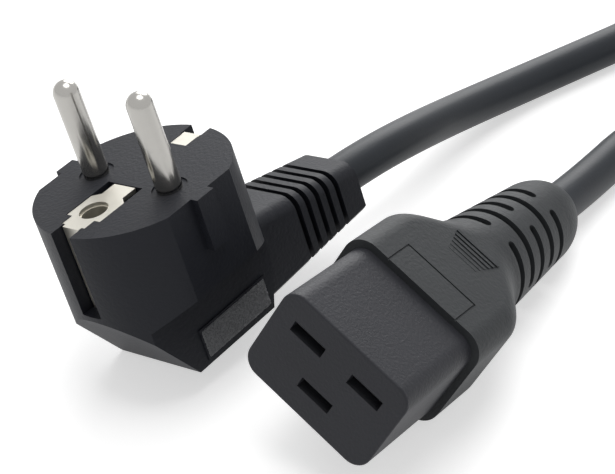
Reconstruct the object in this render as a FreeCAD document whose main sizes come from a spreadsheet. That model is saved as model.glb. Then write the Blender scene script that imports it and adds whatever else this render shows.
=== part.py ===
"""Straight C19 connector on its supply cord, with an angled two-pin earthed plug at the far end.

Frame: millimetres, +Z up. The connector lies on the surface at rest, on the rear edge of its
collar and on the end of its strain relief. +X runs along it towards its mating face. The origin
is on the surface, at the middle of the connector's own box.
"""
import FreeCAD, Part
import math
import os
import re
import Sketcher
from FreeCAD import Placement, Rotation, Vector

# Driving dimensions, millimetres and degrees.
DIMENSIONS = {
    # Connector: hard nose, z = 0 at its mating face, x across, y up.
    "nose_width": 28.0, "nose_height": 19.9, "nose_corner": 3.5, "nose_length": 21.5,
    "nose_edge": 0.4, "front_wall": 2.5, "slot_width": 7.0, "slot_height": 2.24,
    "pole_spread": 6.5, "pole_rise": 4.0,
    # Connector: root of the nose that the soft moulding grips.
    "root_length": 3.5, "waist_width": 24.0, "waist_height": 16.0, "waist_length": 3.0,
    "flange_width": 27.0, "flange_height": 19.0, "flange_corner": 4.0, "flange_length": 3.0,
    # Female contacts, folded from strip.
    "contact_width": 8.0, "contact_height": 3.6, "strip": 0.4, "contact_gap": 1.2,
    "contact_front": 3.0, "contact_rear": 21.0, "cavity_rear": 22.0, "barrel_front": 21.5,
    "barrel_rear": 28.0, "neck_strip_width": 3.0, "neck_strip_depth": 0.9,
    # Connector: soft moulding.
    "collar_width": 30.8, "collar_height": 22.7, "collar_corner": 4.5, "collar_length": 11.5,
    "shoulder_length": 16.0, "relief_top": 10.6, "relief_heel": 8.6, "relief_end": 4.5,
    "heel_reach": 74.5, "relief_reach": 84.5, "heel_radius": 15.0,
    "slit_first": 51.2, "slit_pitch": 4.7, "slit_width": 1.9, "slit_floor": 5.6,
    "slit_half_angle": 72.0,
    "panel_half_width": 8.0, "panel_length": 7.0, "panel_line": 0.35, "panel_depth": 0.25,
    "pad_front": 35.5, "pad_front_half": 3.1, "pad_rear_half": 5.05, "pad_base_rise": 11.05,
    "ridge_pitch": 1.1, "ridge_width": 0.6,
    # Cord and its cores.
    "cord_diameter": 8.4, "core_diameter": 2.9, "conductor_diameter": 1.6, "core_circle": 1.75,
    "core_lead": 7.0, "cores_gather": 50.0, "sheath_grip": 29.0, "strip_overlap": 1.0,
    "plug_core_drop": 2.5, "plug_cores_gather": 16.0, "plug_sheath_start": 24.0,
    # Plug: z = 0 at its face, z along its pins, y towards its cord.
    "drum_radius": 18.6, "drum_flat": 16.8, "block_depth": 34.3,
    "facet_start": 17.3, "facet_end": 20.8, "block_half_width": 10.5,
    "near_start": 18.2, "block_near": 8.2, "far_start": 18.6, "block_far": 12.6,
    "grip_rise": 0.25, "grip_near": 5.6, "grip_far": 12.4, "grip_top": 26.9, "grip_bottom": 33.3,
    "stem_start": 10.0, "stem_end": 45.0, "stem_axis": 28.8, "stem_root_half": 8.75,
    "stem_end_half": 7.35, "stem_root_top": 15.9, "stem_end_top": 23.1, "stem_rise": 0.4,
    "stem_corner": 3.0, "stem_foot": 1.0,
    "groove_start": 28.2, "groove_pitch": 2.83, "groove_width": 1.25, "groove_sink": 1.3,
    "tab_half_width": 2.1, "tab_rise": 1.6, "tab_depth": 10.3,
    "notch_half_width": 2.4, "notch_depth": 17.2, "near_notch": 15.1, "far_notch": 15.3,
    "pin_spread": 9.5, "pin_diameter": 4.8, "pin_length": 19.0, "pin_foot": 0.3,
    "pin_ring_radius": 3.3, "pin_neck_radius": 2.1, "pin_collar_start": 1.5,
    "pin_collar_radius": 3.1, "pin_collar_end": 5.0, "pin_shank_end": 12.0,
    "pin_tail_radius": 1.9, "pin_tail_end": 16.5, "pin_bore_start": 12.8,
    "bridge_half_width": 13.0, "bridge_half_depth": 5.5, "bridge_top": 3.0,
    "strap_thickness": 0.8, "strap_half_width": 2.1, "strap_sink": 0.1, "strap_bottom": 17.2,
    "strap_near": 15.9, "strap_far": 16.1, "plate_near_end": 2.0, "plate_far_end": 12.1,
    "plate_half_width": 4.3, "plate_neck_half": 3.0, "plate_wide_start": 12.6, "plate_wide_end": 6.5,
    "plate_step": 2.7, "plate_step_start": 5.3, "well_half_width": 4.4, "well_depth": 3.0,
    "well_start": 12.75, "well_end": 1.8,
    "earth_hole_offset": 10.0, "earth_hole_radius": 2.5, "plate_hole_radius": 2.7, "socket_radius": 3.2,
    # Rest.
    "connector_roll": 25.1, "plug_heading": 174.6, "plug_rise": 6.1, "plug_roll": 15.3,
    "plug_offset_x": -11.7, "plug_offset_y": -48.3,
    # Coil of the put-away length.
    "coil_x": -215.6, "coil_y": -16.0, "coil_radius": 42.0, "coil_stub": 31.0,
    "coil_in_angle": 80.0, "coil_out_angle": 305.0, "coil_out_slope": 8.0,
    "tie_thickness": 0.8, "tie_width": 8.0,
}

CONTACT_PLACES = {"line": (1, 1), "neutral": (-1, 1), "earth": (0, -1)}
SHOULDER_STEPS = 7
SLIT_ROWS = 5
RIDGES = 6
STEM_GROOVES = 5

# Free stretches of the cord, from each exit towards the coil, on the surface.
CONNECTOR_ROUTE = [(-80.0, 0.6, 4.2), (-118.0, 9.6, 4.2)]
CONNECTOR_LEAD = 20.0
PLUG_ROUTE = [(-40.0, -34.9, 12.9), (-62.5, -37.0, 4.2), (-86.0, -30.2, 4.2),
              (-111.0, -20.2, 4.2), (-130.0, -19.5, 4.2)]
PLUG_LEAD = 19.0

doc = FreeCAD.newDocument("c19_connector")
sheet = doc.addObject("Spreadsheet::Sheet", "Dims")
nodes = {}


def fill_sheet():
    """Put every driving dimension in a cell of its own, with its alias."""
    for row, (alias, number) in enumerate(DIMENSIONS.items(), start=1):
        sheet.set(f"A{row}", alias)
        sheet.set(f"B{row}", str(number))
        sheet.setAlias(f"B{row}", alias)
    doc.recompute()


def linked(expression):
    """Expression with every dimension's name pointing at its cell."""
    return re.sub(r"[a-z_]+", lambda word: f"Dims.{word[0]}" if word[0] in DIMENSIONS else word[0],
                  str(expression))


def value(expression):
    """Number that an expression of the dimensions gives."""
    return float(sheet.evalExpression(linked(expression)))


def bind(thing, **sizes):
    """Bind properties of an object to expressions of the dimensions."""
    for name, expression in sizes.items():
        thing.setExpression(name.replace("__", "."), linked(expression))
    return thing


def body(name):
    return doc.addObject("PartDesign::Body", name)


def sketch(owner, name, plane, offset="0"):
    """Sketch on one of its body's own planes, moved along the plane's normal."""
    made = owner.newObject("Sketcher::SketchObject", name)
    support = next(item for item in owner.Origin.OriginFeatures if item.Role == plane)
    made.AttachmentSupport = (support, [""])
    made.MapMode = "FlatFace"
    made.setExpression("AttachmentOffset.Base.z", linked(offset))
    return made


def locate(made, index, point, corner):
    """Pin a point of a sketch at a corner, whose two coordinates are expressions."""
    for axis, line, expression in (("X", -2, corner[0]), ("Y", -1, corner[1])):
        number = value(expression)
        if abs(number) < 1e-9:
            made.addConstraint(Sketcher.Constraint("PointOnObject", index, point, line))
            continue
        rule = made.addConstraint(Sketcher.Constraint(f"Distance{axis}", index, point, number))
        made.setExpression(f"Constraints[{rule}]", linked(expression))


def arc_to_left(start, end, radius):
    """Arc from start to end, counterclockwise, with its centre on the left of the chord."""
    chord = end - start
    across = Vector(-chord.y, chord.x, 0).normalize()
    rise = math.sqrt(max(radius ** 2 - (chord.Length / 2) ** 2, 0.0))
    centre = (start + end) / 2 + across * rise
    angles = [math.atan2(point.y - centre.y, point.x - centre.x) for point in (start, end)]
    return Part.ArcOfCircle(Part.Circle(centre, Vector(0, 0, 1), radius), *angles)


def outline(made, corners, rounds=None):
    """Closed counterclockwise outline; rounds gives the radius of each edge that is an arc."""
    rounds = rounds or {}
    points = [Vector(value(across), value(up), 0) for across, up in corners]
    first = made.GeometryCount
    count = len(points)
    for step in range(count):
        start, end = points[step], points[(step + 1) % count]
        if step in rounds:
            made.addGeometry(arc_to_left(start, end, value(rounds[step])), False)
        else:
            made.addGeometry(Part.LineSegment(start, end), False)
    for step in range(count):
        following = first + (step + 1) % count
        made.addConstraint(Sketcher.Constraint("Coincident", first + step, 2, following, 1))
    for step, corner in enumerate(corners):
        locate(made, first + step, 1, corner)
    for step, radius in rounds.items():
        rule = made.addConstraint(Sketcher.Constraint("Radius", first + step, value(radius)))
        made.setExpression(f"Constraints[{rule}]", linked(radius))
    return made


def rectangle(made, left, right, low, high):
    return outline(made, [(left, low), (right, low), (right, high), (left, high)])


def rounded_rectangle(made, half_width, half_height, corner, middle="0", centre="0"):
    """Rectangle with four round corners, about a centre across and a middle up."""
    left, right = f"({centre} - ({half_width}))", f"({centre} + ({half_width}))"
    low, high = f"({middle} - ({half_height}))", f"({middle} + ({half_height}))"
    bend = f"({corner})"
    return outline(made, [
        (right, f"{low} + {bend}"), (right, f"{high} - {bend}"),
        (f"{right} - {bend}", high), (f"{left} + {bend}", high),
        (left, f"{high} - {bend}"), (left, f"{low} + {bend}"),
        (f"{left} + {bend}", low), (f"{right} - {bend}", low),
    ], {1: corner, 3: corner, 5: corner, 7: corner})


def circle(made, radius, centre=("0", "0")):
    """Full circle about a centre."""
    place = Vector(value(centre[0]), value(centre[1]), 0)
    index = made.addGeometry(Part.Circle(place, Vector(0, 0, 1), value(radius)), False)
    if place.Length < 1e-9:
        made.addConstraint(Sketcher.Constraint("Coincident", index, 3, -1, 1))
    else:
        locate(made, index, 3, centre)
    rule = made.addConstraint(Sketcher.Constraint("Radius", index, value(radius)))
    made.setExpression(f"Constraints[{rule}]", linked(radius))
    return made


def feature(owner, kind, profile, length, reverse=False):
    """Pad or pocket of a sketch over a length."""
    made = owner.newObject(f"PartDesign::{kind}", kind)
    made.Profile = profile
    made.Reversed = reverse
    return bind(made, Length=length)


def revolve(owner, profile):
    made = owner.newObject("PartDesign::Revolution", "Revolution")
    made.Profile = profile
    made.ReferenceAxis = (profile, ["V_Axis"])
    made.Angle = 360
    return made


def loft(owner, profile, sections, straight=False):
    made = owner.newObject("PartDesign::AdditiveLoft", "Loft")
    made.Profile = profile
    made.Sections = sections
    made.Ruled = straight
    return made


def cylinder(name, radius, height, place):
    made = bind(doc.addObject("Part::Cylinder", name), Radius=radius, Height=height)
    made.Placement = place
    return made


def box(name, length, width, height, place):
    made = bind(doc.addObject("Part::Box", name), Length=length, Width=width, Height=height)
    made.Placement = place
    return made


def joined(name, shapes):
    if len(shapes) == 1:
        return shapes[0]
    made = doc.addObject("Part::MultiFuse", name)
    made.Shapes = shapes
    return made


def cut(name, base, tools):
    made = doc.addObject("Part::Cut", name)
    made.Base = base
    made.Tool = joined(f"{name}_tools", tools)
    return made


def node(name, made):
    """Name a finished sub-part."""
    made.Label = name
    nodes[name] = made
    return made


def at(x="0", y="0", z="0"):
    """Placement at a point given by three expressions."""
    return Placement(Vector(value(x), value(y), value(z)), Rotation())


# Cord paths --------------------------------------------------------------------------------

def rounded_path(points, name, first=None):
    """Straight runs joined by tangent arcs, each as large as its two runs allow.

    The path begins at first, where that is given, in line with its first run.
    """
    edges, start, radii = [], first or points[0], []
    for before, corner, after in zip(points, points[1:], points[2:]):
        back = (before - corner).normalize()
        onward = (after - corner).normalize()
        half_turn = (math.pi - back.getAngle(onward)) / 2
        reach = 0.45 * min((before - corner).Length, (after - corner).Length)
        radii.append(reach / math.tan(half_turn))
        enter, leave = corner + back * reach, corner + onward * reach
        bisector = (back + onward).normalize()
        centre = corner + bisector * (radii[-1] / math.cos(half_turn))
        middle = centre - bisector * radii[-1]
        edges.append(Part.LineSegment(start, enter).toShape())
        edges.append(Part.Arc(enter, middle, leave).toShape())
        start = leave
    edges.append(Part.LineSegment(start, points[-1]).toShape())
    path = doc.addObject("Part::Feature", f"{name}_path")
    path.Shape = Part.Wire(edges)
    return path, radii


def tube(name, points, diameter, first=None):
    """Round tube along a path of straight runs and arcs."""
    path, radii = rounded_path(points, name, first)
    ring = bind(doc.addObject("Part::Circle", f"{name}_ring"), Radius=f"{diameter} / 2")
    ring.Placement = Placement(first or points[0], Rotation(Vector(0, 0, 1), points[1] - points[0]))
    made = doc.addObject("Part::Sweep", name)
    made.Sections = [ring]
    made.Spine = (path, [f"Edge{step + 1}" for step in range(len(path.Shape.Edges))])
    made.Solid = True
    made.Frenet = False
    return made, path, radii


def cores(prefix, routes):
    """Three insulated cores: each an insulation node round a conductor node."""
    blanks = []
    for pole, (points, strip_point) in routes.items():
        blank = tube(f"{prefix}_{pole}_core", points, "core_diameter")[0]
        wire = tube(f"{prefix}_{pole}_wire", points, "conductor_diameter", strip_point)[0]
        node(f"{prefix}_{pole}_conductor", wire)
        node(f"{prefix}_{pole}_insulation", cut(f"{prefix}_{pole}_sleeve", blank, [wire]))
        blanks.append(blank)
    return blanks


# Connector ---------------------------------------------------------------------------------

def shoulder_section(step):
    """Half width, half height and corner of the soft moulding, part way down its shoulder."""
    blend = (1 - math.cos(math.pi * step / SHOULDER_STEPS)) / 2
    depth = f"nose_length + collar_length + shoulder_length * {step} / {SHOULDER_STEPS}"
    wide = f"collar_width / 2 + (relief_top + 0.1 - collar_width / 2) * {blend:.4f}"
    tall = f"collar_height / 2 + (relief_top + 0.1 - collar_height / 2) * {blend:.4f}"
    bend = f"collar_corner + (relief_top - 0.05 - collar_corner) * {blend:.4f}"
    return depth, wide, tall, bend


def connector_moulding():
    """Outside of the soft moulding: collar, shoulder, strain relief, panel line and grip pad."""
    shell = body("connector_shell")
    collar = rounded_rectangle(sketch(shell, "Collar", "XY_Plane", "-nose_length - collar_length"),
                               "collar_width / 2", "collar_height / 2", "collar_corner")
    feature(shell, "Pad", collar, "collar_length")
    sections = []
    for step in range(SHOULDER_STEPS + 1):
        depth, wide, tall, bend = shoulder_section(step)
        made = sketch(shell, f"Shoulder{step}", "XY_Plane", f"-({depth})")
        sections.append(rounded_rectangle(made, wide, tall, bend))
    loft(shell, sections[0], sections[1:])
    relief_start = "1 - nose_length - collar_length - shoulder_length"
    relief = outline(sketch(shell, "Relief", "XZ_Plane"), [
        ("0", "-relief_reach"), ("relief_end", "-relief_reach"), ("relief_heel", "-heel_reach"),
        ("relief_top", relief_start), ("0", relief_start),
    ], {1: "heel_radius"})
    revolve(shell, relief)
    grip_pad(shell)
    panel_line(shell)
    return shell


def grip_pad(shell):
    """Flat-topped pad that widens backwards, with ridges across it."""
    rear = f"pad_front + {RIDGES} * ridge_pitch"
    base = outline(sketch(shell, "PadBase", "XZ_Plane", "-collar_height / 2 + 2"), [
        ("-pad_rear_half", f"-({rear})"), ("pad_rear_half", f"-({rear})"),
        ("pad_front_half", "-pad_front"), ("-pad_front_half", "-pad_front"),
    ])
    feature(shell, "Pad", base, "pad_base_rise + 2 - collar_height / 2", True)
    ridges = sketch(shell, "Ridges", "XZ_Plane", "-collar_height / 2 + 1")
    for step in range(RIDGES):
        near = f"pad_front + {step} * ridge_pitch + (ridge_pitch - ridge_width) / 2"
        half = f"(pad_front_half + (pad_rear_half - pad_front_half) * {step + 0.5} / {RIDGES})"
        rectangle(ridges, f"-{half}", half, f"-({near}) - ridge_width", f"-({near})")
    feature(shell, "Pad", ridges, "1", True)


def panel_line(shell):
    """Thin line engraved round three sides of a panel on top of the collar, open at the lip."""
    top = sketch(shell, "Panel", "XZ_Plane", "-collar_height / 2")
    front, rear = "-nose_length + 1", "-nose_length - panel_length"
    inner = "(panel_half_width - panel_line)"
    outline(top, [
        ("-panel_half_width", rear), ("panel_half_width", rear), ("panel_half_width", front),
        (inner, front), (inner, f"{rear} + panel_line"), (f"-{inner}", f"{rear} + panel_line"),
        (f"-{inner}", front), ("-panel_half_width", front),
    ])
    feature(shell, "Pocket", top, "panel_depth", True)


def connector_slits(seat):
    """Staggered slits round the strain relief, with round ends and a land between each pair."""
    cutters = []
    for row in range(SLIT_ROWS):
        depth = f"-(slit_first + {row} * slit_pitch)"
        turn = 90 * (row % 2)
        for side in (0, 180):
            start = turn + side - value("slit_half_angle")
            place = Placement(Vector(0, 0, value(f"{depth} - slit_width / 2")),
                              Rotation(Vector(0, 0, 1), start))
            ring = cylinder(f"slit{row}_{side}", "relief_top + 3", "slit_width", seat * place)
            bind(ring, Angle="2 * slit_half_angle")
            cutters.append(ring)
        for end in (-1, 1):
            angle = turn + end * value("slit_half_angle")
            spin = Rotation(Vector(0, 0, 1), angle) * Rotation(Vector(0, 1, 0), 90)
            centre = Vector(0, 0, value(depth))
            reach = spin.multVec(Vector(0, 0, 1)) * value("relief_top + 3")
            cutters.append(cylinder(f"slit{row}_end{end}", "slit_width / 2",
                                    "2 * relief_top + 6", seat * Placement(centre - reach, spin)))
    start = at(z=f"-(slit_first + {SLIT_ROWS} * slit_pitch)")
    middle = cylinder("slit_middle", "slit_floor", f"{SLIT_ROWS + 1} * slit_pitch", seat * start)
    return cut("slit_rings", joined("slit_cutters", cutters), [middle])


def connector_nose():
    """Outside of the hard insert: nose, and the waist and flange that the moulding grips."""
    blank = body("connector_nose")
    face = rounded_rectangle(sketch(blank, "Nose", "XY_Plane", "-nose_length - root_length"),
                             "nose_width / 2", "nose_height / 2", "nose_corner")
    front = feature(blank, "Pad", face, "nose_length + root_length")
    doc.recompute()
    rim = [f"Edge{number}" for number, edge in enumerate(blank.Shape.Edges, start=1)
           if abs(edge.BoundBox.ZMin) < 1e-6 and abs(edge.BoundBox.ZMax) < 1e-6]
    softened = blank.newObject("PartDesign::Fillet", "NoseEdge")
    softened.Base = (front, rim)
    bind(softened, Radius="nose_edge")
    waist_end = "-nose_length - root_length - waist_length"
    waist = rounded_rectangle(sketch(blank, "Waist", "XY_Plane", waist_end),
                              "waist_width / 2", "waist_height / 2", "nose_corner")
    feature(blank, "Pad", waist, "waist_length")
    flange = rounded_rectangle(sketch(blank, "Flange", "XY_Plane", f"{waist_end} - flange_length"),
                               "flange_width / 2", "flange_height / 2", "flange_corner")
    feature(blank, "Pad", flange, "flange_length")
    return blank


def pole(name):
    """Middle of a contact's opening, as two expressions."""
    across, up = CONTACT_PLACES[name]
    return f"{across} * pole_spread", f"{up} * pole_rise"


def connector_insert(blank, seat):
    """The hard insert with its three slots, contact cavities and wire holes."""
    cutters = []
    for name in CONTACT_PLACES:
        across, up = pole(name)
        slot = at(f"{across} - slot_width / 2", f"{up} - slot_height / 2", "-front_wall - 1")
        cutters.append(box(f"{name}_slot", "slot_width", "slot_height", "front_wall + 2", seat * slot))
        room = at(f"{across} - contact_width / 2", f"{up} - contact_height / 2", "-cavity_rear")
        cutters.append(box(f"{name}_room", "contact_width", "contact_height",
                           "cavity_rear - front_wall", seat * room))
        hole = at(across, up, "-nose_length - root_length - waist_length - flange_length - 1")
        cutters.append(cylinder(f"{name}_hole", "core_diameter / 2", "12", seat * hole))
    return node("connector_insert", cut("insert", blank, cutters))


def contact(name, seat):
    """Female contact: a folded box, a neck and a crimp barrel, all of one strip."""
    made = body(f"{name}_strip")
    half, tall = "contact_width / 2", "contact_height / 2"
    gap = "contact_gap / 2"
    spring = sketch(made, "Spring", "XY_Plane", "-contact_rear")
    outline(spring, [
        (f"-{half}", f"-{tall}"), (half, f"-{tall}"), (half, tall), (gap, tall),
        (gap, f"{tall} - strip"), (f"{half} - strip", f"{tall} - strip"),
        (f"{half} - strip", f"-{tall} + strip"), (f"-({half} - strip)", f"-{tall} + strip"),
        (f"-({half} - strip)", f"{tall} - strip"), (f"-{gap}", f"{tall} - strip"),
        (f"-{gap}", tall), (f"-{half}", tall),
    ])
    feature(made, "Pad", spring, "contact_rear - contact_front")
    neck = rectangle(sketch(made, "Neck", "XY_Plane", "-cavity_rear"),
                     "-neck_strip_width / 2", "neck_strip_width / 2",
                     f"-{tall}", f"-{tall} + neck_strip_depth")
    feature(made, "Pad", neck, "cavity_rear - contact_rear")
    barrel = sketch(made, "Barrel", "XY_Plane", "-barrel_rear")
    circle(barrel, "core_diameter / 2")
    circle(barrel, "conductor_diameter / 2")
    feature(made, "Pad", barrel, "barrel_rear - barrel_front")
    made.Placement = seat * at(*pole(name))
    return node(f"{name}_contact", made)


def core_end(name):
    """Where a core lies in the round cord, as two numbers across the cord."""
    across, up = CONTACT_PLACES[name]
    lean = math.radians(30)
    radius = value("core_circle")
    return (across * radius * math.cos(lean), up * radius * (math.sin(lean) if across else 1))


def connector_cores(seat):
    """Routes of the three cores from their contacts to the end of the strain relief."""
    routes = {}
    for name in CONTACT_PLACES:
        across, up = (value(part) for part in pole(name))
        near, rise = core_end(name)
        points = [(across, up, -value("barrel_rear")), (across, up, -value("barrel_rear + core_lead")),
                  (near, rise, -value("cores_gather")), (near, rise, -value("relief_reach"))]
        strip_point = Vector(across, up, -value("barrel_front + 1.5 * strip_overlap"))
        routes[name] = [seat.multVec(Vector(*point)) for point in points], seat.multVec(strip_point)
    return cores("connector", routes)


def sheath(name, length, place, blanks):
    """End of the cord's sheath round its three cores."""
    blank = cylinder(f"{name}_blank", "cord_diameter / 2", length, place)
    return blank, node(name, cut(f"{name}_bored", blank, blanks))


# Plug --------------------------------------------------------------------------------------

def drum_outline(made):
    """Round face with a flat at each side."""
    flat = "sqrt(drum_radius ^ 2 - drum_flat ^ 2)"
    return outline(made, [
        ("drum_flat", f"-{flat}"), ("drum_flat", flat), ("-drum_flat", flat),
        ("-drum_flat", f"-{flat}"),
    ], {1: "drum_radius", 3: "drum_radius"})


def stem_outline(made, reach, inset="0"):
    """Section of the tapered stem at one reach, with round top corners."""
    share = f"((({reach}) - stem_start) / (stem_end - stem_start))"
    half = f"(stem_root_half + (stem_end_half - stem_root_half) * {share} - {inset})"
    top = f"-(stem_root_top + (stem_end_top - stem_root_top) * {share} + {inset})"
    bottom = f"-(block_depth - stem_rise * {share} - {inset} / 2)"
    flat, foot = f"({half} - stem_corner)", f"({half} - stem_foot)"
    return outline(made, [
        (f"-{foot}", bottom), (foot, bottom), (half, f"{bottom} + stem_foot"),
        (half, f"{top} - stem_corner"), (flat, top), (f"-{flat}", top),
        (f"-{half}", f"{top} - stem_corner"), (f"-{half}", f"{bottom} + stem_foot"),
    ], {3: "stem_corner", 5: "stem_corner"})


def block_cuts(shell):
    """Slanted undersides that narrow the drum to the block: one at each side, near and far."""
    below = "-block_depth - 2"
    fall = "((facet_end - facet_start) / (drum_flat - block_half_width))"
    for side, name in ((-1, "Left"), (1, "Right")):
        sides = sketch(shell, f"{name}Side", "XZ_Plane", "drum_radius + 1")
        corners = [(f"{side} * (drum_flat + 3)", f"-(facet_start - 3 * {fall})"),
                   (f"{side} * block_half_width", "-facet_end"),
                   (f"{side} * block_half_width", below), (f"{side} * (drum_flat + 3)", below)]
        feature(shell, "Pocket", outline(sides, corners), "2 * drum_radius + 2")
    for side, name in ((-1, "near"), (1, "far")):
        start, end = f"{name}_start", f"block_{name}"
        slant = f"((drum_radius - {end}) / (block_depth - {start}))"
        ends = sketch(shell, f"{name.title()}End", "YZ_Plane", "drum_radius + 1")
        corners = [(f"{side} * (drum_radius + 3 * {slant})", f"-({start} - 3)"),
                   (f"{side} * ({end} - 2 * {slant})", below),
                   (f"{side} * (drum_radius + 3 * {slant})", below)]
        feature(shell, "Pocket", outline(ends, corners), "2 * drum_radius + 2")


def plug_moulding():
    """Outside of the plug's moulding: drum, block, stem, tabs, grips and notches."""
    shell = body("plug_shell")
    feature(shell, "Pad", drum_outline(sketch(shell, "Drum", "XY_Plane", "-block_depth")),
            "block_depth")
    block_cuts(shell)
    root, tip = [stem_outline(sketch(shell, name, "XZ_Plane", f"-{reach}"), reach)
                 for name, reach in (("StemRoot", "stem_start"), ("StemEnd", "stem_end"))]
    loft(shell, root, [tip], True)
    tabs = sketch(shell, "Tabs", "XY_Plane", "-tab_depth")
    grips = sketch(shell, "Grips", "XY_Plane", "-grip_bottom")
    for side in (-1, 1):
        edges = sorted([f"{side} * (drum_flat - 1)", f"{side} * (drum_flat + tab_rise)"], key=value)
        rectangle(tabs, *edges, "-tab_half_width", "tab_half_width")
        edges = sorted([f"{side} * (block_half_width - 1)", f"{side} * (block_half_width + grip_rise)"],
                       key=value)
        rectangle(grips, *edges, "-grip_near", "grip_far")
    feature(shell, "Pad", tabs, "tab_depth")
    feature(shell, "Pad", grips, "grip_bottom - grip_top")
    plug_hollows(shell)
    return shell


def plug_hollows(shell):
    """Stem grooves, notches for the earth clips, openings over its plates, rings round the pins."""
    for step in range(STEM_GROOVES):
        start = f"groove_start + {step} * groove_pitch"
        ring = sketch(shell, f"Groove{step}", "XZ_Plane", f"-({start})")
        rectangle(ring, "-stem_axis / 2", "stem_axis / 2", "-1.5 * stem_axis", "-stem_axis / 2")
        stem_outline(ring, start, "groove_sink")
        feature(shell, "Pocket", ring, "groove_width", True)
    notches = sketch(shell, "Notches", "XY_Plane")
    rectangle(notches, "-notch_half_width", "notch_half_width", "-drum_radius - 1", "-near_notch")
    rectangle(notches, "-notch_half_width", "notch_half_width", "far_notch", "drum_radius + 1")
    feature(shell, "Pocket", notches, "notch_depth")
    well = rectangle(sketch(shell, "Well", "XY_Plane"), "-well_half_width", "well_half_width",
                     "-well_start", "-well_end")
    feature(shell, "Pocket", well, "well_depth")
    windows = sketch(shell, "Windows", "XY_Plane")
    rectangle(windows, "-plate_neck_half", "plate_neck_half", "-near_notch - strap_sink",
              "-well_start + strap_sink")
    rectangle(windows, "-strap_half_width", "strap_half_width", "plate_far_end",
              "far_notch + strap_sink")
    feature(shell, "Pocket", windows, "strap_sink")
    rings = sketch(shell, "PinRings", "XY_Plane")
    for side in (-1, 1):
        circle(rings, "pin_ring_radius", (f"{side} * pin_spread", "0"))
    feature(shell, "Pocket", rings, "pin_foot")


def earth_strap(place):
    """One bent strip: near plate with its hole, near clip, bar under both, far clip and plate."""
    made = body("strap")
    low, thick = "-strap_bottom", "strap_thickness"
    top = "-strap_sink"
    hoop = sketch(made, "Hoop", "YZ_Plane", "-strap_half_width")
    outline(hoop, [
        ("-strap_near", low), ("strap_far", low), ("strap_far", top), ("plate_far_end", top),
        ("plate_far_end", f"{top} - {thick}"), (f"strap_far - {thick}", f"{top} - {thick}"),
        (f"strap_far - {thick}", f"{low} + {thick}"), (f"-strap_near + {thick}", f"{low} + {thick}"),
        (f"-strap_near + {thick}", f"{top} - {thick}"), ("-plate_near_end", f"{top} - {thick}"),
        ("-plate_near_end", top), ("-strap_near", top),
    ])
    feature(made, "Pad", hoop, "2 * strap_half_width")
    plate = sketch(made, "Plate", "XY_Plane", f"{top} - {thick}")
    outline(plate, [
        ("-plate_neck_half", "-near_notch"), ("plate_neck_half", "-near_notch"),
        ("plate_neck_half", "-plate_wide_start"), ("plate_half_width", "-plate_wide_start"),
        ("plate_half_width", "-plate_wide_end"), ("plate_step", "-plate_step_start"),
        ("plate_step", "-plate_near_end"), ("-plate_step", "-plate_near_end"),
        ("-plate_step", "-plate_step_start"), ("-plate_half_width", "-plate_wide_end"),
        ("-plate_half_width", "-plate_wide_start"), ("-plate_neck_half", "-plate_wide_start"),
    ])
    feature(made, "Pad", plate, thick)
    hole = circle(sketch(made, "Hole", "XY_Plane"), "plate_hole_radius", ("0", "-earth_hole_offset"))
    feature(made, "Pocket", hole, f"strap_sink + {thick} + 0.05")
    made.Placement = place
    return node("earth_strap", made)


def earth_socket(place):
    """Closed sleeve under the near plate that takes a socket's earth pin."""
    sleeve = at("0", "-earth_hole_offset", "-strap_bottom + strap_thickness")
    blank = cylinder("socket_blank", "socket_radius",
                     "strap_bottom - strap_sink - 2 * strap_thickness", place * sleeve)
    floor = at("0", "-earth_hole_offset", "-strap_bottom + 2 * strap_thickness")
    bore = cylinder("socket_bore", "earth_hole_radius", "strap_bottom", place * floor)
    return blank, node("earth_socket", cut("socket", blank, [bore]))


def pin(name, side, place):
    """Round pin with a domed tip, a neck, a collar held in the bridge and a crimped tail."""
    made = body(f"{name}_blank")
    tip = "pin_diameter / 2"
    profile = outline(sketch(made, "Profile", "XZ_Plane"), [
        ("0", "-pin_tail_end"), ("pin_tail_radius", "-pin_tail_end"),
        ("pin_tail_radius", "-pin_shank_end"), (tip, "-pin_shank_end"), (tip, "-pin_collar_end"),
        ("pin_collar_radius", "-pin_collar_end"), ("pin_collar_radius", "-pin_collar_start"),
        ("pin_neck_radius", "-pin_collar_start"), ("pin_neck_radius", "-pin_foot"),
        (tip, "-pin_foot"), (tip, f"pin_length - {tip}"), ("0", "pin_length"),
    ], {10: tip})
    revolve(made, profile)
    made.Placement = place * at(f"{side} * pin_spread")
    bore = cylinder(f"{name}_bore", "conductor_diameter / 2", "pin_tail_end - pin_bore_start",
                    place * at(f"{side} * pin_spread", "0", "-pin_tail_end"))
    node(name, cut(f"{name}_bored", made, [bore]))
    return made


def plug_bridge(place, pins):
    """Hard bridge inside the drum that holds both pins by their collars."""
    corner = at("-bridge_half_width", "-bridge_half_depth", "-pin_shank_end")
    blank = box("bridge_blank", "2 * bridge_half_width", "2 * bridge_half_depth",
                "pin_shank_end - bridge_top", place * corner)
    return blank, node("plug_bridge", cut("bridge", blank, pins))


def plug_cores(place):
    """Routes of the three cores from the pins and the earth strap to the end of the stem."""
    routes = {}
    far, axis = value("stem_end"), -value("stem_axis")
    for name in CONTACT_PLACES:
        across, rise = core_end(name)
        depth = axis + rise
        if name == "earth":
            points = [(0, 0, -value("strap_bottom")), (0, 0, depth), (0, far, depth)]
            strip_point = points[0]
        else:
            pin_place = math.copysign(value("pin_spread"), across)
            points = [(pin_place, 0, -value("pin_tail_end")),
                      (pin_place, 0, -value("pin_tail_end + plug_core_drop")),
                      (across, value("plug_cores_gather"), depth), (across, far, depth)]
            strip_point = (pin_place, 0, -value("pin_bore_start + strip_overlap"))
        routes[name] = [place.multVec(Vector(*point)) for point in points], \
            place.multVec(Vector(*strip_point))
    return cores("plug", routes)


# Rest --------------------------------------------------------------------------------------

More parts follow.
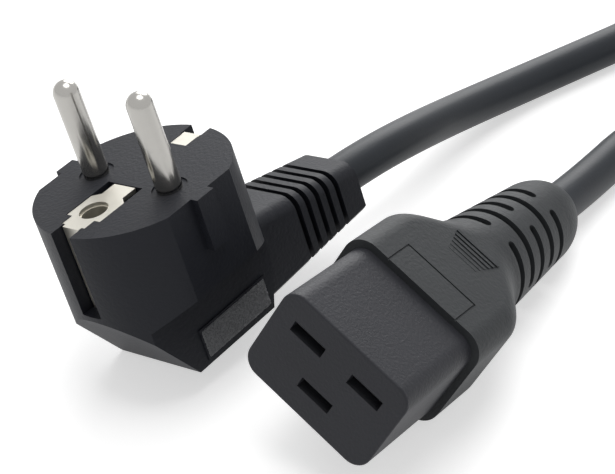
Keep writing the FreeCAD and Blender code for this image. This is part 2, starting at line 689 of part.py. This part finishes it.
def rest_pitch():
    """Angle that the nose points up by, from the collar's rear edge to the strain relief's heel."""
    roll = math.radians(value("connector_roll"))
    angles = []
    for step in range(SHOULDER_STEPS):
        depth, wide, tall, bend = [value(part) for part in shoulder_section(step)]
        support = (wide - bend) * math.sin(roll) + (tall - bend) * math.cos(roll) + bend
        drop = support - value("relief_heel")
        angles.append(math.atan2(drop, value("heel_reach") - depth))
    return math.degrees(max(angles))


def resting_points(shapes, turn):
    """Points all over some shapes, turned as they rest."""
    return [turn.multVec(point) for shape in shapes for point in shape.tessellate(0.02)[0]]


def connector_seat(bodies):
    """Placement of everything in the connector's frame, in the part's frame."""
    lie_down = Rotation(Vector(1, 1, 1), 120)
    roll = Rotation(Vector(0, 0, 1), -value("connector_roll"))
    turn = Rotation(Vector(0, 1, 0), -rest_pitch()) * lie_down * roll
    points = resting_points([item.Shape for item in bodies], turn)
    middle = [(min(point[axis] for point in points) + max(point[axis] for point in points)) / 2
              for axis in (0, 1)]
    return Placement(Vector(-middle[0], -middle[1], -min(point.z for point in points)), turn)


def plug_seat(shell, seat):
    """Placement of everything in the plug's frame, lying beside the connector."""
    heading = Rotation(Vector(0, 0, 1), value("plug_heading"))
    rise = Rotation(Vector(0, 1, 0), -value("plug_rise"))
    roll = Rotation(Vector(1, 0, 0), -value("plug_roll"))
    turn = heading * rise * roll * Rotation(Vector(0, 0, 1), -90)
    low = min(point.z for point in resting_points([shell.Shape], turn))
    face = seat.Base
    return Placement(Vector(face.x + value("plug_offset_x"), face.y + value("plug_offset_y"), -low),
                     turn)


# Cord --------------------------------------------------------------------------------------

def coil_join(angle, layer, slope, towards):
    """Where a free stretch joins the coil's outer turn, and the direction that it leaves in."""
    turn = math.radians(angle)
    radius = value("coil_radius + cord_diameter / 2")
    height = value(f"tie_thickness + cord_diameter * {layer + 0.5}")
    point = Vector(value("coil_x") + radius * math.cos(turn),
                   value("coil_y") + radius * math.sin(turn), height)
    fall = math.radians(slope)
    ahead = Vector(-math.sin(turn) * math.cos(fall) * towards,
                   math.cos(turn) * math.cos(fall) * towards, -math.sin(fall))
    return point, ahead


def coil(joins):
    """Outer shape of the tied coil, with a short straight end at each join."""
    ring = body("coil_ring")
    section = rounded_rectangle(sketch(ring, "Section", "XZ_Plane"), "cord_diameter + 0.15",
                                "1.5 * cord_diameter", "cord_diameter / 2",
                                "tie_thickness + 1.5 * cord_diameter", "coil_radius")
    revolve(ring, section)
    ring.Placement = at("coil_x", "coil_y")
    ends = []
    for index, (point, ahead) in enumerate(joins):
        start = point - ahead * 5
        place = Placement(start, Rotation(Vector(0, 0, 1), ahead))
        ends.append(cylinder(f"coil_end{index}", "cord_diameter / 2", "coil_stub + 5", place))
    return node("cord_coil", joined("coil_solid", [ring] + ends))


def tie(wound):
    """Strap round the coil, on its far side."""
    width = "2 * cord_diameter + 0.3 + 2 * tie_thickness"
    corner = at(f"coil_x - coil_radius - ({width}) / 2", "coil_y - tie_width / 2", "0")
    strap = box("tie_blank", width, "tie_width", "3 * cord_diameter + 2 * tie_thickness", corner)
    return node("cord_tie", cut("tie_loop", strap, [wound]))


def free_stretch(name, exit_place, ahead, straight, route, join, lead):
    """Tube of a free stretch, from an exit along its route to one end of the coil."""
    point, away = join
    end = point + away * value("coil_stub")
    points = [exit_place, exit_place + ahead * straight]
    points += [Vector(*place) for place in route] + [end + away * lead, end]
    made, path, radii = tube(name, points, "cord_diameter")
    node(name, made)
    return made, path, radii


def report_tube(name, made, path, radii):
    """Say how a cord's tube came out."""
    length = sum(edge.Length for edge in path.Shape.Edges)
    expected = length * math.pi * value("cord_diameter / 2") ** 2
    print(f"{name}: length {length:.1f}, volume {made.Shape.Volume / expected:.4f} of its section, "
          f"radii {[round(radius) for radius in radii]}")


# Whole part --------------------------------------------------------------------------------

def make_connector():
    """Every piece of the connector; returns its placement."""
    shell, nose = connector_moulding(), connector_nose()
    doc.recompute()
    seat = connector_seat([shell, nose])
    shell.Placement = seat
    nose.Placement = seat
    connector_insert(nose, seat)
    for name in CONTACT_PLACES:
        contact(name, seat)
    blanks = connector_cores(seat)
    start = seat * at(z="-relief_reach")
    blank = sheath("connector_sheath_end", "sheath_grip", start, blanks)[0]
    slits = connector_slits(seat)
    node("connector_overmould", cut("overmould", shell, [nose, blank, slits] + blanks))
    return seat


def make_plug(seat):
    """Every piece of the plug; returns its placement."""
    shell = plug_moulding()
    doc.recompute()
    place = plug_seat(shell, seat)
    shell.Placement = place
    pins = [pin("line_pin", 1, place), pin("neutral_pin", -1, place)]
    bridge = plug_bridge(place, pins)[0]
    strap = earth_strap(place)
    sleeve = earth_socket(place)[0]
    blanks = plug_cores(place)
    along = Placement(Vector(0, value("plug_sheath_start"), value("-stem_axis")),
                      Rotation(Vector(1, 0, 0), -90))
    blank = sheath("plug_sheath_end", "stem_end - plug_sheath_start", place * along, blanks)[0]
    node("plug_overmould", cut("plug_body", shell, [bridge, strap, sleeve, blank] + pins + blanks))
    return place


def make_cord(seat, place):
    """The cord's free stretches, its coil and the coil's tie."""
    near = coil_join(value("coil_in_angle"), 0, 0, -1)
    far = coil_join(value("coil_out_angle"), 1, value("coil_out_slope"), 1)
    wound = coil([near, far])
    tie(wound)
    stretches = {
        "cord_connector_end": (seat.multVec(Vector(0, 0, value("-relief_reach"))),
                               seat.Rotation.multVec(Vector(0, 0, -1)), 13,
                               CONNECTOR_ROUTE, near, CONNECTOR_LEAD),
        "cord_plug_end": (place.multVec(Vector(0, value("stem_end"), value("-stem_axis"))),
                          place.Rotation.multVec(Vector(0, 1, 0)), 11,
                          PLUG_ROUTE, far, PLUG_LEAD),
    }
    return {name: free_stretch(name, *facts) for name, facts in stretches.items()}


def check_and_write():
    """Refuse a failed object or an unsound shape, then write one file for each sub-part."""
    failed = [item.Name for item in doc.Objects if {"Invalid", "Error"} & set(item.State)]
    if failed:
        raise RuntimeError(f"failed objects: {failed}")
    for name, made in nodes.items():
        shape = made.Shape
        if shape.isNull() or not shape.isValid():
            raise RuntimeError(f"{name} has no sound shape")
        print(f"{name}: {len(shape.Solids)} solid, {shape.Volume:.1f} mm3")
    os.makedirs("parts", exist_ok=True)
    for name, made in nodes.items():
        made.Shape.exportStep(f"parts/{name}.step")


fill_sheet()
connector_place = make_connector()
plug_place = make_plug(connector_place)
stretches = make_cord(connector_place, plug_place)
doc.recompute()
print("connector", connector_place)
print("plug", plug_place)
for stretch, made in stretches.items():
    report_tube(stretch, *made)
check_and_write()
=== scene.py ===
"""Looks of the C19 connector, its cord and its plug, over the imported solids. Metres, +Z up."""
import math

import bpy
from mathutils import Euler, Matrix, Vector, noise as field

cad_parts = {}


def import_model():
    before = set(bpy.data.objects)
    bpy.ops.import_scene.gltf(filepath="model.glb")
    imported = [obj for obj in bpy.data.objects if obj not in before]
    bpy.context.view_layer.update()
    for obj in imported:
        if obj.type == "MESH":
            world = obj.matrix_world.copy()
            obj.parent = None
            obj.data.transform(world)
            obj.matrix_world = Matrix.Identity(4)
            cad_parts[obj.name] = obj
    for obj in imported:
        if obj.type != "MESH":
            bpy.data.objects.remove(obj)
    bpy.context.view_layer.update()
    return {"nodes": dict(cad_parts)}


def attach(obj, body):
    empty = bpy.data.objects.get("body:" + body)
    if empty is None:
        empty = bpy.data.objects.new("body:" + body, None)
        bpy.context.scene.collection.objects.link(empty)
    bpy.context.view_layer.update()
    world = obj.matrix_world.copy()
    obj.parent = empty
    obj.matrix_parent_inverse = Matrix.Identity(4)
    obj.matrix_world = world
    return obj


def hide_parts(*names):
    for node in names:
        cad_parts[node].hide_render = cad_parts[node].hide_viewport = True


MM = 0.001
WHITE = (1, 1, 1, 1)
CORD_DIAMETER = 8.4 * MM

# Where the plug's own frame lies: its face is z = 0, its pins point up z, its cord leaves along y.
PLUG_PLACE = Matrix.Translation((0.0292512, -0.0483, 0.0365233)) @ Euler(
    [math.radians(turn) for turn in (6.32236, -15.2113, 82.9348)]).to_matrix().to_4x4()

# The stippled grip on each side of the plug's block, in the plug's frame: how far out its face is,
# its reach along y and z, the size of its cells, how high its grains stand, how far apart the
# cells and the two sides read the noise, and how deep the rim is sunk.
GRIP_FACE = 10.75 * MM
GRIP_Y = (-5.3 * MM, 12.1 * MM)
GRIP_Z = (-33.0 * MM, -27.2 * MM)
GRIP_CELL = 0.22 * MM
STIPPLE = 0.3 * MM
NOISE_STEP = 0.83
NOISE_SIDE = 7.7
RIM_SINK = 0.05 * MM

# The cord's route, exit first, close to the solids' free stretches. The connector's end comes down
# to the surface and runs along it. The plug's end falls to it in one easy curve, lies on it and
# rises to the coil.
CONNECTOR_EXIT = (-0.042905, 0.0, 0.006916)
CONNECTOR_STRETCH = [(-0.05573, 0.0, 0.00479), (-0.080, 0.0006, 0.0042),
                     (-0.118, 0.0096, 0.0042)]
PLUG_EXIT = (-0.017199, -0.036355, 0.013939)
PLUG_STRETCH = [(-0.02553, -0.03511, 0.01429), (-0.04095, -0.03349, 0.01268),
                (-0.06242, -0.03373, 0.00696), (-0.08431, -0.02965, 0.0042),
                (-0.09933, -0.02452, 0.0042), (-0.12347, -0.01635, 0.0042)]
CORD_ROUND_STEPS = 8
CORD_LONG_STEPS = 10

# The coil: round turns in two tracks and three layers, wound in at the bottom of the outer track
# and out at its middle. A track is counted in cord diameters from the middle radius. Between the
# angles of the way out and the way in, each turn goes over to the next place within CHANGE_SECTOR
# degrees, and starts CHANGE_DELAY degrees after the turn that follows it. The coil lies on the
# tie's strap, COIL_FLOOR above the surface.
COIL_CENTRE = Vector((-0.2156, -0.016, 0.0))
COIL_MIDDLE_RADIUS = 0.042
COIL_FLOOR = 0.8 * MM
COIL_IN_ANGLE = 80
COIL_OUT_ANGLE = 305
COIL_OUT_SLOPE = 8
OUTER, INNER = 0.5, -0.5
COIL_TRACKS = [(OUTER, 0), (INNER, 0), (INNER, 1), (INNER, 2), (OUTER, 2), (OUTER, 1)]
CHANGE_SECTOR = 75
CHANGE_DELAY = 15
POINTS_PER_TURN = 24

# Where a free stretch meets the coil it is straight: over STUB, and over its lead before that.
STUB = 31 * MM
CONNECTOR_LEAD = 20 * MM
PLUG_LEAD = 19 * MM

# Plastic: its faint blotches, how much they change its colour and its roughness, how glossy it
# is, and its fine grain.
BLOTCH_SCALE = 60.0
BLOTCH_DETAIL = 4.0
BLOTCH_COLOUR = 0.1
BLOTCH_ROUGHNESS = 0.06
BLOTCH_RAMP = (0.3, 0.7)
PLASTIC_SPECULAR = 0.2
GRAIN_DETAIL = 2.0
GRAIN_HEIGHT = 0.1 * MM

# Plated metal: its draw marks, and how much smoother and rougher than the rest they are.
MARK_SCALE = 900.0
MARK_DETAIL = 3.0
MARK_HEIGHT = 0.02 * MM
MARK_SMOOTHER, MARK_ROUGHER = 0.05, 0.08
SMOOTHEST = 0.02

# Woven strap: scale, strength and height of its threads.
THREAD_SCALE = 400.0
THREAD_STRENGTH = 0.6
THREAD_HEIGHT = 0.2 * MM

# Surroundings: the floor's own light and the world's strength, which is 1 where it is seen.
FLOOR_REACH = 6.0
FLOOR_DROP = 0.02 * MM
FLOOR_COLOUR = (0.80, 0.80, 0.80)
FLOOR_ROUGHNESS = 0.9
FLOOR_SPECULAR = 0.1
FLOOR_GLOW = 0.55
WORLD_LIGHT = 0.35

# Lamps: name, place, target, diameter and watts. The low one puts a sheen on the tops.
LAMPS = [
    ("overhead", (-0.1, -0.05, 1.0), (0, 0, 0), 0.7, 4.0),
    ("sheen", (-0.60, -0.33, 0.42), (0, 0, 0.03), 0.6, 4.0),
]

CAMERA_PLACE = (0.25543, 0.1381, 0.23575)
CAMERA_AHEAD = (-0.6751, -0.4458, -0.5878)
CAMERA_LENS = 117.07


def node_material(name, base, roughness, metallic=0.0):
    """Material with a Principled shader; returns the material, its nodes, links and shader."""
    material = bpy.data.materials.new(name)
    material.use_nodes = True
    nodes, links = material.node_tree.nodes, material.node_tree.links
    shader = nodes["Principled BSDF"]
    shader.inputs["Base Color"].default_value = (*base, 1)
    shader.inputs["Roughness"].default_value = roughness
    shader.inputs["Metallic"].default_value = metallic
    return material, nodes, links, shader


def noise(nodes, links, scale, detail):
    """Noise over object coordinates; returns its value socket."""
    place = nodes.new("ShaderNodeTexCoord")
    texture = nodes.new("ShaderNodeTexNoise")
    texture.inputs["Scale"].default_value = scale
    texture.inputs["Detail"].default_value = detail
    links.new(place.outputs["Object"], texture.inputs["Vector"])
    return texture.outputs["Fac"]


def colour_between(nodes, links, factor, low, high):
    """Colours between low and high, driven by a factor."""
    made = nodes.new("ShaderNodeValToRGB")
    for stop, colour, position in zip(made.color_ramp.elements, (low, high), BLOTCH_RAMP):
        stop.color = (*colour, 1)
        stop.position = position
    links.new(factor, made.inputs["Fac"])
    return made.outputs["Color"]


def map_to(nodes, links, factor, low, high):
    """Value between low and high, driven by a factor from 0 to 1."""
    made = nodes.new("ShaderNodeMapRange")
    made.inputs["To Min"].default_value = low
    made.inputs["To Max"].default_value = high
    links.new(factor, made.inputs["Value"])
    return made.outputs["Result"]


def bump(nodes, links, shader, height, strength, distance):
    """Relief in a shader's surface, driven by a height."""
    made = nodes.new("ShaderNodeBump")
    made.inputs["Strength"].default_value = strength
    made.inputs["Distance"].default_value = distance
    links.new(height, made.inputs["Height"])
    links.new(made.outputs["Normal"], shader.inputs["Normal"])


def moulded(name, base, roughness, grain=2500.0, depth=0.25):
    """Moulded plastic: fine grain in the surface and faint unevenness in colour and gloss."""
    material, nodes, links, shader = node_material(name, base, roughness)
    blotch = noise(nodes, links, BLOTCH_SCALE, BLOTCH_DETAIL)
    low, high = [tuple(part * (1 + change) for part in base)
                 for change in (-BLOTCH_COLOUR, BLOTCH_COLOUR)]
    links.new(colour_between(nodes, links, blotch, low, high), shader.inputs["Base Color"])
    gloss = map_to(nodes, links, blotch, roughness - BLOTCH_ROUGHNESS, roughness + BLOTCH_ROUGHNESS)
    links.new(gloss, shader.inputs["Roughness"])
    fine = noise(nodes, links, grain, GRAIN_DETAIL)
    bump(nodes, links, shader, fine, depth, GRAIN_HEIGHT)
    shader.inputs["Specular IOR Level"].default_value = PLASTIC_SPECULAR
    return material


def plated(name, base, roughness, scratch=0.15):
    """Plated metal with faint draw marks."""
    material, nodes, links, shader = node_material(name, base, roughness, 1.0)
    marks = noise(nodes, links, MARK_SCALE, MARK_DETAIL)
    gloss = map_to(nodes, links, marks, max(roughness - MARK_SMOOTHER, SMOOTHEST),
                   roughness + MARK_ROUGHER)
    links.new(gloss, shader.inputs["Roughness"])
    bump(nodes, links, shader, marks, scratch, MARK_HEIGHT)
    return material


def woven(name, base, roughness):
    """Woven strap: two crossed waves in the surface."""
    material, nodes, links, shader = node_material(name, base, roughness)
    place = nodes.new("ShaderNodeTexCoord")
    waves = []
    for direction in ("X", "Y"):
        wave = nodes.new("ShaderNodeTexWave")
        wave.bands_direction = direction
        wave.inputs["Scale"].default_value = THREAD_SCALE
        links.new(place.outputs["Object"], wave.inputs["Vector"])
        waves.append(wave.outputs["Fac"])
    both = nodes.new("ShaderNodeMath")
    both.operation = "MULTIPLY"
    links.new(waves[0], both.inputs[0])
    links.new(waves[1], both.inputs[1])
    bump(nodes, links, shader, both.outputs["Value"], THREAD_STRENGTH, THREAD_HEIGHT)
    return material


def paint(frame, material, *names):
    """Give CAD nodes a material in place of their plain one."""
    for name in names:
        piece = frame["nodes"][name]
        if not piece.material_slots:
            piece.data.materials.append(material)
        for holder in piece.material_slots:
            holder.material = material


def paint_all(frame, sheath):
    """Materials of every CAD node that the cord doesn't replace."""
    paint(frame, moulded("overmould_pvc", (0.040, 0.043, 0.046), 0.55, 1500.0, 1.0),
          "connector_overmould")
    paint(frame, moulded("nose_plastic", (0.034, 0.035, 0.041), 0.5, 1800.0, 1.0),
          "connector_insert", "plug_bridge")
    paint(frame, moulded("plug_pvc", (0.0118, 0.0130, 0.0178), 0.52, 1500.0, 0.7),
          "plug_overmould")
    paint(frame, plated("nickel", (0.40, 0.39, 0.37), 0.2), "line_pin", "neutral_pin")
    paint(frame, plated("clip_plate", (0.62, 0.60, 0.54), 0.4, 0.3), "earth_strap", "earth_socket")
    paint(frame, plated("contact_tin", (0.62, 0.60, 0.54), 0.35),
          "line_contact", "neutral_contact", "earth_contact")
    copper = plated("copper", (0.80, 0.42, 0.25), 0.4)
    sleeves = {"line": moulded("core_brown", (0.16, 0.07, 0.03), 0.5),
               "neutral": moulded("core_blue", (0.03, 0.12, 0.40), 0.5),
               "earth": moulded("core_green", (0.18, 0.38, 0.05), 0.5)}
    for end in ("connector", "plug"):
        for pole, sleeve in sleeves.items():
            paint(frame, sleeve, f"{end}_{pole}_insulation")
            paint(frame, copper, f"{end}_{pole}_conductor")
    paint(frame, sheath, "connector_sheath_end", "plug_sheath_end")
    paint(frame, woven("strap_weave", (0.02, 0.02, 0.022), 0.85), "cord_tie")


def coil_point(turned):
    """Point of the cord's centreline after turning through some degrees from where it joins."""
    turn, within = int(turned // 360), turned % 360
    track, layer = COIL_TRACKS[turn]
    changes_after = len(COIL_TRACKS) - 2 - turn
    if changes_after >= 0:
        start = COIL_OUT_ANGLE - COIL_IN_ANGLE + CHANGE_DELAY * changes_after
        share = min(max((within - start) / CHANGE_SECTOR, 0), 1)
        share = (1 - math.cos(math.pi * share)) / 2
        next_track, next_layer = COIL_TRACKS[turn + 1]
        track += (next_track - track) * share
        layer += (next_layer - layer) * share
    return on_coil(COIL_IN_ANGLE + turned, track, layer)


def on_coil(angle, track, layer):
    """Point of a turn's centreline at an angle, in a track and a layer."""
    radius = COIL_MIDDLE_RADIUS + track * CORD_DIAMETER
    turn = math.radians(angle)
    height = COIL_FLOOR + CORD_DIAMETER * (layer + 0.5)
    return COIL_CENTRE + Vector((radius * math.cos(turn), radius * math.sin(turn), height))


def join_leads(angle, layer, slope, towards, lead):
    """Two points of the straight stretch beside the coil: where it starts and where STUB does."""
    turn, fall = math.radians(angle), math.radians(slope)
    ahead = Vector((-math.sin(turn) * math.cos(fall) * towards,
                    math.cos(turn) * math.cos(fall) * towards, -math.sin(fall)))
    point = on_coil(angle, OUTER, layer)
    return [point + ahead * (STUB + lead), point + ahead * STUB]


def cord_points():
    """The whole cord's control points, from the connector to the plug."""
    whole = 360 * (len(COIL_TRACKS) - 1) + COIL_OUT_ANGLE - COIL_IN_ANGLE
    steps = round(whole / 360 * POINTS_PER_TURN)
    turns = [coil_point(whole * step / steps) for step in range(steps + 1)]
    near = join_leads(COIL_IN_ANGLE, 0, 0, -1, CONNECTOR_LEAD)
    far = join_leads(COIL_OUT_ANGLE, 1, COIL_OUT_SLOPE, 1, PLUG_LEAD)
    points = [Vector(CONNECTOR_EXIT)] + [Vector(place) for place in CONNECTOR_STRETCH]
    points += near + turns + far[::-1]
    points += [Vector(place) for place in reversed(PLUG_STRETCH)] + [Vector(PLUG_EXIT)]
    return points


def make_cord(sheath):
    """The cord as one round line along its route."""
    curve = bpy.data.curves.new("cord", "CURVE")
    curve.dimensions = "3D"
    curve.bevel_depth = CORD_DIAMETER / 2
    curve.bevel_resolution = CORD_ROUND_STEPS
    curve.resolution_u = CORD_LONG_STEPS
    spline = curve.splines.new("NURBS")
    points = cord_points()
    spline.points.add(len(points) - 1)
    for holder, place in zip(spline.points, points):
        holder.co = (*place, 1)
    spline.order_u = 3
    spline.use_endpoint_u = True
    cord = bpy.data.objects.new("cord", curve)
    bpy.context.scene.collection.objects.link(cord)
    curve.materials.append(sheath)
    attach(cord, "root")
    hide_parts("cord_connector_end", "cord_coil", "cord_plug_end")
    return cord


def make_grip(side):
    """Stippled surface of one grip: a fine grid with a grainy height, its rim sunk in the plug,
    coloured far lighter than the plug's plastic as a painted sheen.
    """
    columns = round((GRIP_Y[1] - GRIP_Y[0]) / GRIP_CELL)
    rows = round((GRIP_Z[1] - GRIP_Z[0]) / GRIP_CELL)
    points = []
    for row in range(rows + 1):
        for column in range(columns + 1):
            rim = row in (0, rows) or column in (0, columns)
            grain = field.noise(Vector((column * NOISE_STEP, row * NOISE_STEP,
                                        side * NOISE_SIDE)))
            rise = -RIM_SINK if rim else STIPPLE * min(max(0.5 + grain, 0), 1)
            points.append(PLUG_PLACE @ Vector((side * (GRIP_FACE + rise),
                                               GRIP_Y[0] + column * GRIP_CELL,
                                               GRIP_Z[0] + row * GRIP_CELL)))
    width = columns + 1
    faces = [(row * width + column, row * width + column + 1,
              (row + 1) * width + column + 1, (row + 1) * width + column)[::side]
             for row in range(rows) for column in range(columns)]
    name = "grip_right" if side > 0 else "grip_left"
    mesh = bpy.data.meshes.new(name)
    mesh.from_pydata(points, [], faces)
    grip = bpy.data.objects.new(name, mesh)
    bpy.context.scene.collection.objects.link(grip)
    # Painted sheen: this colour is far lighter than the plug's black plastic and stands in for the
    # light that the stipple catches from above.
    mesh.materials.append(moulded(name, (0.155, 0.158, 0.165), 0.45))
    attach(grip, "root")
    return grip


def seen_ray(nodes, links):
    """One where the camera sees the surroundings, straight, in a gloss or through glass."""
    ray = nodes.new("ShaderNodeLightPath")
    seen = ray.outputs["Is Camera Ray"]
    for kind in ("Is Glossy Ray", "Is Transmission Ray"):
        either = nodes.new("ShaderNodeMath")
        either.operation = "MAXIMUM"
        links.new(seen, either.inputs[0])
        links.new(ray.outputs[kind], either.inputs[1])
        seen = either.outputs["Value"]
    return seen


def make_floor():
    """Wide white floor under the part, which looks white and still takes the part's shadow."""
    mesh = bpy.data.meshes.new("floor")
    reach = FLOOR_REACH
    corners = [(-reach, -reach, 0), (reach, -reach, 0), (reach, reach, 0), (-reach, reach, 0)]
    mesh.from_pydata(corners, [], [(0, 1, 2, 3)])
    floor = bpy.data.objects.new("floor", mesh)
    bpy.context.scene.collection.objects.link(floor)
    floor.location.z = -FLOOR_DROP
    material, nodes, links, shader = node_material("paper", FLOOR_COLOUR, FLOOR_ROUGHNESS)
    shader.inputs["Specular IOR Level"].default_value = FLOOR_SPECULAR
    glow = nodes.new("ShaderNodeMath")
    glow.operation = "MULTIPLY"
    glow.inputs[1].default_value = FLOOR_GLOW
    links.new(seen_ray(nodes, links), glow.inputs[0])
    shader.inputs["Emission Color"].default_value = WHITE
    links.new(glow.outputs["Value"], shader.inputs["Emission Strength"])
    mesh.materials.append(material)


def area_light(name, place, target, size, power):
    """Round soft lamp that faces a target."""
    light = bpy.data.lights.new(name, "AREA")
    light.shape = "DISK"
    light.size = size
    light.energy = power
    lamp = bpy.data.objects.new(name, light)
    bpy.context.scene.collection.objects.link(lamp)
    lamp.location = place
    lamp.rotation_euler = (Vector(target) - Vector(place)).to_track_quat("-Z", "Y").to_euler()


def make_light():
    """Soft studio light: a pale world all round, one lamp overhead and one low behind."""
    world = bpy.data.worlds.new("studio")
    bpy.context.scene.world = world
    world.use_nodes = True
    background = world.node_tree.nodes["Background"]
    background.inputs["Color"].default_value = WHITE
    nodes, links = world.node_tree.nodes, world.node_tree.links
    strength = map_to(nodes, links, seen_ray(nodes, links), WORLD_LIGHT, 1.0)
    links.new(strength, background.inputs["Strength"])
    for lamp in LAMPS:
        area_light(*lamp)


def make_camera():
    """Camera at the product view: above and in front, on the mating face's side."""
    data = bpy.data.cameras.new("camera")
    data.sensor_width = 36.0
    data.lens = CAMERA_LENS
    data.clip_start = 0.01
    camera = bpy.data.objects.new("camera", data)
    bpy.context.scene.collection.objects.link(camera)
    camera.location = CAMERA_PLACE
    camera.rotation_euler = Vector(CAMERA_AHEAD).to_track_quat("-Z", "Y").to_euler()
    bpy.context.scene.camera = camera


def build():
    """The whole scene."""
    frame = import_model()
    sheath = moulded("sheath_pvc", (0.022, 0.0255, 0.031), 0.42, 1800.0, 0.2)
    paint_all(frame, sheath)
    cord = make_cord(sheath)
    [make_grip(side) for side in (-1, 1)]
    make_floor()
    make_light()
    make_camera()
    bpy.context.scene.view_settings.view_transform = "Standard"


build()
